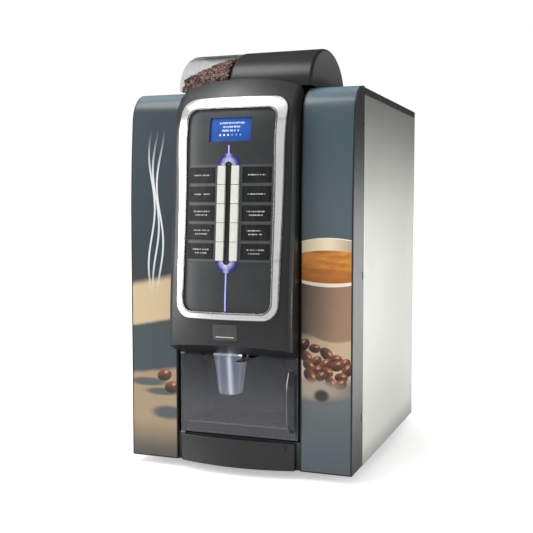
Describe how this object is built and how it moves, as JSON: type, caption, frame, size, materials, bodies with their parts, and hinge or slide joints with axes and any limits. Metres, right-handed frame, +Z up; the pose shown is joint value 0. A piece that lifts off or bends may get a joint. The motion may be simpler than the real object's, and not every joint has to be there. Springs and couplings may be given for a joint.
{
  "type": "hot coffee vending machine",
  "caption": "Counter-top bean-to-cup hot-drinks vending machine with a hinged front door, bowed control fascia, cup bay and domed bean hopper.",
  "frame": {"origin": "on the counter, under the centre of the machine's outer box", "axes": "+X to the machine's right as seen from the front, -Y out of the front door, +Z up"},
  "size_m": [0.45, 0.629, 0.816],
  "materials": {
    "satin_door_steel": "satin silver-grey powder coat",
    "light_side_steel": "semi-gloss light grey paint on sheet steel",
    "black_trim": "fine-grained black moulding",
    "charcoal_fascia": "satin charcoal moulding",
    "chrome_bezel": "bright plated ring",
    "panel_plastic": "satin dark grey moulding",
    "label_grey": "mid grey carrier",
    "label_card": "dark printed cards",
    "button_white": "pearl white key caps",
    "light_guide": "violet-blue lit acrylic",
    "display": "backlit blue display",
    "printed_graphics": null,
    "smoked_plastic": "smoked clear moulding",
    "clear_plastic": "clear moulding",
    "coffee_bean": "roasted beans",
    "black_dome": "gloss black moulding",
    "grey_plastic": "matt grey moulding",
    "zinc_steel": "zinc-plated sheet",
    "polished_steel": "brushed stainless steel",
    "brass": "machined brass",
    "silicone": "translucent silicone hose",
    "foot_rubber": "black rubber pad on a steel stem",
    "canister_plastic": "natural polypropylene",
    "motor_black": "black enamel"
  },
  "bodies": {
    "cabinet": {"side_panel_left": "light_side_steel", "side_panel_right": "light_side_steel", "rear_panel": "zinc_steel", "base_pan": "zinc_steel", "bulkhead": "zinc_steel", "roof_frame": "black_trim", "hinge_knuckles": "zinc_steel", "levelling_feet": "foot_rubber", "bean_hopper": "clear_plastic", "coffee_beans": "coffee_bean", "grinder": "motor_black", "brew_unit": "grey_plastic", "grounds_bucket": "grey_plastic", "espresso_boiler": "polished_steel", "instant_boiler": "polished_steel", "pump": "brass", "canisters": "canister_plastic", "mixing_bowls": "canister_plastic", "mixer_motors": "motor_black", "mixer_hoses": "silicone", "spout_head": "grey_plastic", "cup_dropper": "grey_plastic", "water_inlet": "brass"},
    "door": {"door_frame": "satin_door_steel", "door_columns": "black_trim", "graphic_panels": "printed_graphics", "fascia": "charcoal_fascia", "bezel": "chrome_bezel", "control_panel": "panel_plastic", "label_holder": "label_grey", "label_cards": "label_card", "light_guides": "light_guide", "display_module": "display", "cup_niche": "black_trim", "cup_holder": "grey_plastic", "drip_tray": "grey_plastic", "drip_grille": "polished_steel", "lower_panel": "charcoal_fascia"},
    "cup_door": {"cup_door": "smoked_plastic"},
    "door_lock": {"door_lock": "polished_steel"},
    "hopper_lid": {"hopper_lid": "clear_plastic"},
    "dome_cover": {"dome_cover": "black_dome"},
    "brew_piston": {"brew_piston": "polished_steel"},
    "cup_turret": {"cup_turret": "clear_plastic"},
    "auger_1": {"auger_1": "grey_plastic"},
    "auger_2": {"auger_2": "grey_plastic"},
    "auger_3": {"auger_3": "grey_plastic"},
    "auger_4": {"auger_4": "grey_plastic"},
    "button_left_1": {"button_left_1": "button_white"},
    "button_left_2": {"button_left_2": "button_white"},
    "button_left_3": {"button_left_3": "button_white"},
    "button_left_4": {"button_left_4": "button_white"},
    "button_left_5": {"button_left_5": "button_white"},
    "button_right_1": {"button_right_1": "button_white"},
    "button_right_2": {"button_right_2": "button_white"},
    "button_right_3": {"button_right_3": "button_white"},
    "button_right_4": {"button_right_4": "button_white"},
    "button_right_5": {"button_right_5": "button_white"},
    "whipper_1": {"whipper_1": "grey_plastic"},
    "whipper_2": {"whipper_2": "grey_plastic"}
  },
  "joints": [
    {"name": "door_hinge", "type": "hinge", "parent": "cabinet", "child": "door", "pos_m": [0.2195, -0.1765, 0.38], "axis": [0, 0, 1], "range_deg": [0, 100]},
    {"name": "cup_door_hinge", "type": "hinge", "parent": "door", "child": "cup_door", "pos_m": [-0.115, -0.2465, 0.149], "axis": [0, 0, -1], "range_deg": [0, 90]},
    {"name": "lock_turn", "type": "hinge", "parent": "door", "child": "door_lock", "pos_m": [-0.225, -0.205, 0.4], "axis": [1, 0, 0], "range_deg": [0, 90]},
    {"name": "hopper_lid_hinge", "type": "hinge", "parent": "cabinet", "child": "hopper_lid", "pos_m": [-0.084, 0.0165, 0.738], "axis": [-1, 0, 0], "range_deg": [0, 70]},
    {"name": "dome_cover_hinge", "type": "hinge", "parent": "cabinet", "child": "dome_cover", "pos_m": [0.052, 0.0165, 0.738], "axis": [-1, 0, 0], "range_deg": [0, 70]},
    {"name": "brew_piston_slide", "type": "slide", "parent": "cabinet", "child": "brew_piston", "axis": [0, 0, 1], "range_m": [0, 0.045]},
    {"name": "cup_turret_spin", "type": "hinge", "parent": "cabinet", "child": "cup_turret", "pos_m": [0.085, -0.075, 0.6], "axis": [0, 0, 1], "continuous": true},
    {"name": "button_left_1_press", "type": "slide", "parent": "door", "child": "button_left_1", "axis": [0, 1, 0], "range_m": [0, 0.002]},
    {"name": "button_left_2_press", "type": "slide", "parent": "door", "child": "button_left_2", "axis": [0, 1, 0], "range_m": [0, 0.002]},
    {"name": "button_left_3_press", "type": "slide", "parent": "door", "child": "button_left_3", "axis": [0, 1, 0], "range_m": [0, 0.002]},
    {"name": "button_left_4_press", "type": "slide", "parent": "door", "child": "button_left_4", "axis": [0, 1, 0], "range_m": [0, 0.002]},
    {"name": "button_left_5_press", "type": "slide", "parent": "door", "child": "button_left_5", "axis": [0, 1, 0], "range_m": [0, 0.002]},
    {"name": "button_right_1_press", "type": "slide", "parent": "door", "child": "button_right_1", "axis": [0, 1, 0], "range_m": [0, 0.002]},
    {"name": "button_right_2_press", "type": "slide", "parent": "door", "child": "button_right_2", "axis": [0, 1, 0], "range_m": [0, 0.002]},
    {"name": "button_right_3_press", "type": "slide", "parent": "door", "child": "button_right_3", "axis": [0, 1, 0], "range_m": [0, 0.002]},
    {"name": "button_right_4_press", "type": "slide", "parent": "door", "child": "button_right_4", "axis": [0, 1, 0], "range_m": [0, 0.002]},
    {"name": "button_right_5_press", "type": "slide", "parent": "door", "child": "button_right_5", "axis": [0, 1, 0], "range_m": [0, 0.002]},
    {"name": "auger_1_spin", "type": "hinge", "parent": "cabinet", "child": "auger_1", "pos_m": [-0.025, 0.06, 0.508], "axis": [0, 1, 0], "continuous": true},
    {"name": "auger_2_spin", "type": "hinge", "parent": "cabinet", "child": "auger_2", "pos_m": [0.041, 0.06, 0.508], "axis": [0, 1, 0], "continuous": true},
    {"name": "auger_3_spin", "type": "hinge", "parent": "cabinet", "child": "auger_3", "pos_m": [0.107, 0.06, 0.508], "axis": [0, 1, 0], "continuous": true},
    {"name": "auger_4_spin", "type": "hinge", "parent": "cabinet", "child": "auger_4", "pos_m": [0.173, 0.06, 0.508], "axis": [0, 1, 0], "continuous": true},
    {"name": "whipper_1_spin", "type": "hinge", "parent": "cabinet", "child": "whipper_1", "pos_m": [0.041, 0.02, 0.412], "axis": [0, 1, 0], "continuous": true},
    {"name": "whipper_2_spin", "type": "hinge", "parent": "cabinet", "child": "whipper_2", "pos_m": [0.107, 0.02, 0.412], "axis": [0, 1, 0], "continuous": true}
  ]
}
